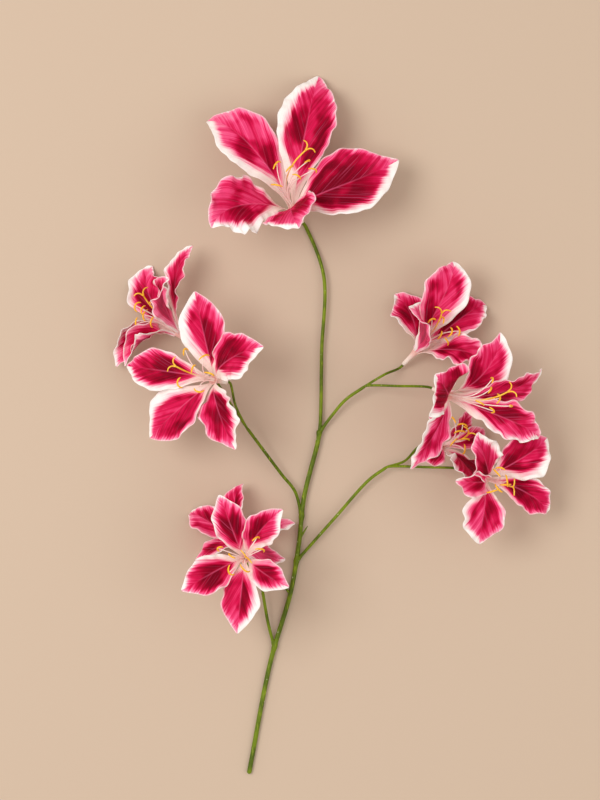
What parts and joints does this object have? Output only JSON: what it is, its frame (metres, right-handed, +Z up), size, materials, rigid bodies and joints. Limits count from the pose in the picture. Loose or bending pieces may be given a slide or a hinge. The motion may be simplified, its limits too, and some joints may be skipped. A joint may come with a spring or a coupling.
{
  "type": "cut lily",
  "caption": "Cut lily spray with forked side branches and open five-petalled blooms, lying flat.",
  "frame": {"origin": "on the surface that the spray lies on, under the middle of its box", "axes": "+Y along the main stem from its cut end to the top bloom, +Z up from the surface, the way the blooms face"},
  "size_m": [0.4374, 0.7098, 0.1202],
  "materials": {
    "stem": "satin moulded green",
    "petal": "printed fabric with white margins",
    "centre": "satin, pale tube and filaments with orange anthers",
    "anther": "matt orange-yellow"
  },
  "bodies": {
    "root": {"main_stem": "stem", "upper_left_branch": "stem", "upper_right_branch": "stem", "lower_right_branch": "stem", "lower_left_branch": "stem", "top_bloom_centre": "centre", "top_bloom_petal_1": "petal", "top_bloom_petal_2": "petal", "top_bloom_petal_3": "petal", "top_bloom_petal_4": "petal", "top_bloom_petal_5": "petal", "upper_left_front_bloom_centre": "centre", "upper_left_front_bloom_petal_1": "petal", "upper_left_front_bloom_petal_2": "petal", "upper_left_front_bloom_petal_3": "petal", "upper_left_front_bloom_petal_4": "petal", "upper_left_front_bloom_petal_5": "petal", "upper_left_rear_bloom_centre": "centre", "upper_left_rear_bloom_petal_1": "petal", "upper_left_rear_bloom_petal_2": "petal", "upper_left_rear_bloom_petal_3": "petal", "upper_left_rear_bloom_petal_4": "petal", "upper_left_rear_bloom_petal_5": "petal", "lower_left_front_bloom_centre": "centre", "lower_left_front_bloom_petal_1": "petal", "lower_left_front_bloom_petal_2": "petal", "lower_left_front_bloom_petal_3": "petal", "lower_left_front_bloom_petal_4": "petal", "lower_left_front_bloom_petal_5": "petal", "lower_left_rear_bloom_centre": "centre", "lower_left_rear_bloom_petal_1": "petal", "lower_left_rear_bloom_petal_2": "petal", "lower_left_rear_bloom_petal_3": "petal", "lower_left_rear_bloom_petal_4": "petal", "lower_left_rear_bloom_petal_5": "petal", "upper_right_outer_bloom_centre": "centre", "upper_right_outer_bloom_petal_1": "petal", "upper_right_outer_bloom_petal_2": "petal", "upper_right_outer_bloom_petal_3": "petal", "upper_right_outer_bloom_petal_4": "petal", "upper_right_outer_bloom_petal_5": "petal", "upper_right_front_bloom_centre": "centre", "upper_right_front_bloom_petal_1": "petal", "upper_right_front_bloom_petal_2": "petal", "upper_right_front_bloom_petal_3": "petal", "upper_right_front_bloom_petal_4": "petal", "upper_right_front_bloom_petal_5": "petal", "lower_right_rear_bloom_centre": "centre", "lower_right_rear_bloom_petal_1": "petal", "lower_right_rear_bloom_petal_2": "petal", "lower_right_rear_bloom_petal_3": "petal", "lower_right_rear_bloom_petal_4": "petal", "lower_right_rear_bloom_petal_5": "petal", "lower_right_front_bloom_centre": "centre", "lower_right_front_bloom_petal_1": "petal", "lower_right_front_bloom_petal_2": "petal", "lower_right_front_bloom_petal_3": "petal", "lower_right_front_bloom_petal_4": "petal", "lower_right_front_bloom_petal_5": "petal"}
  },
  "joints": []
}
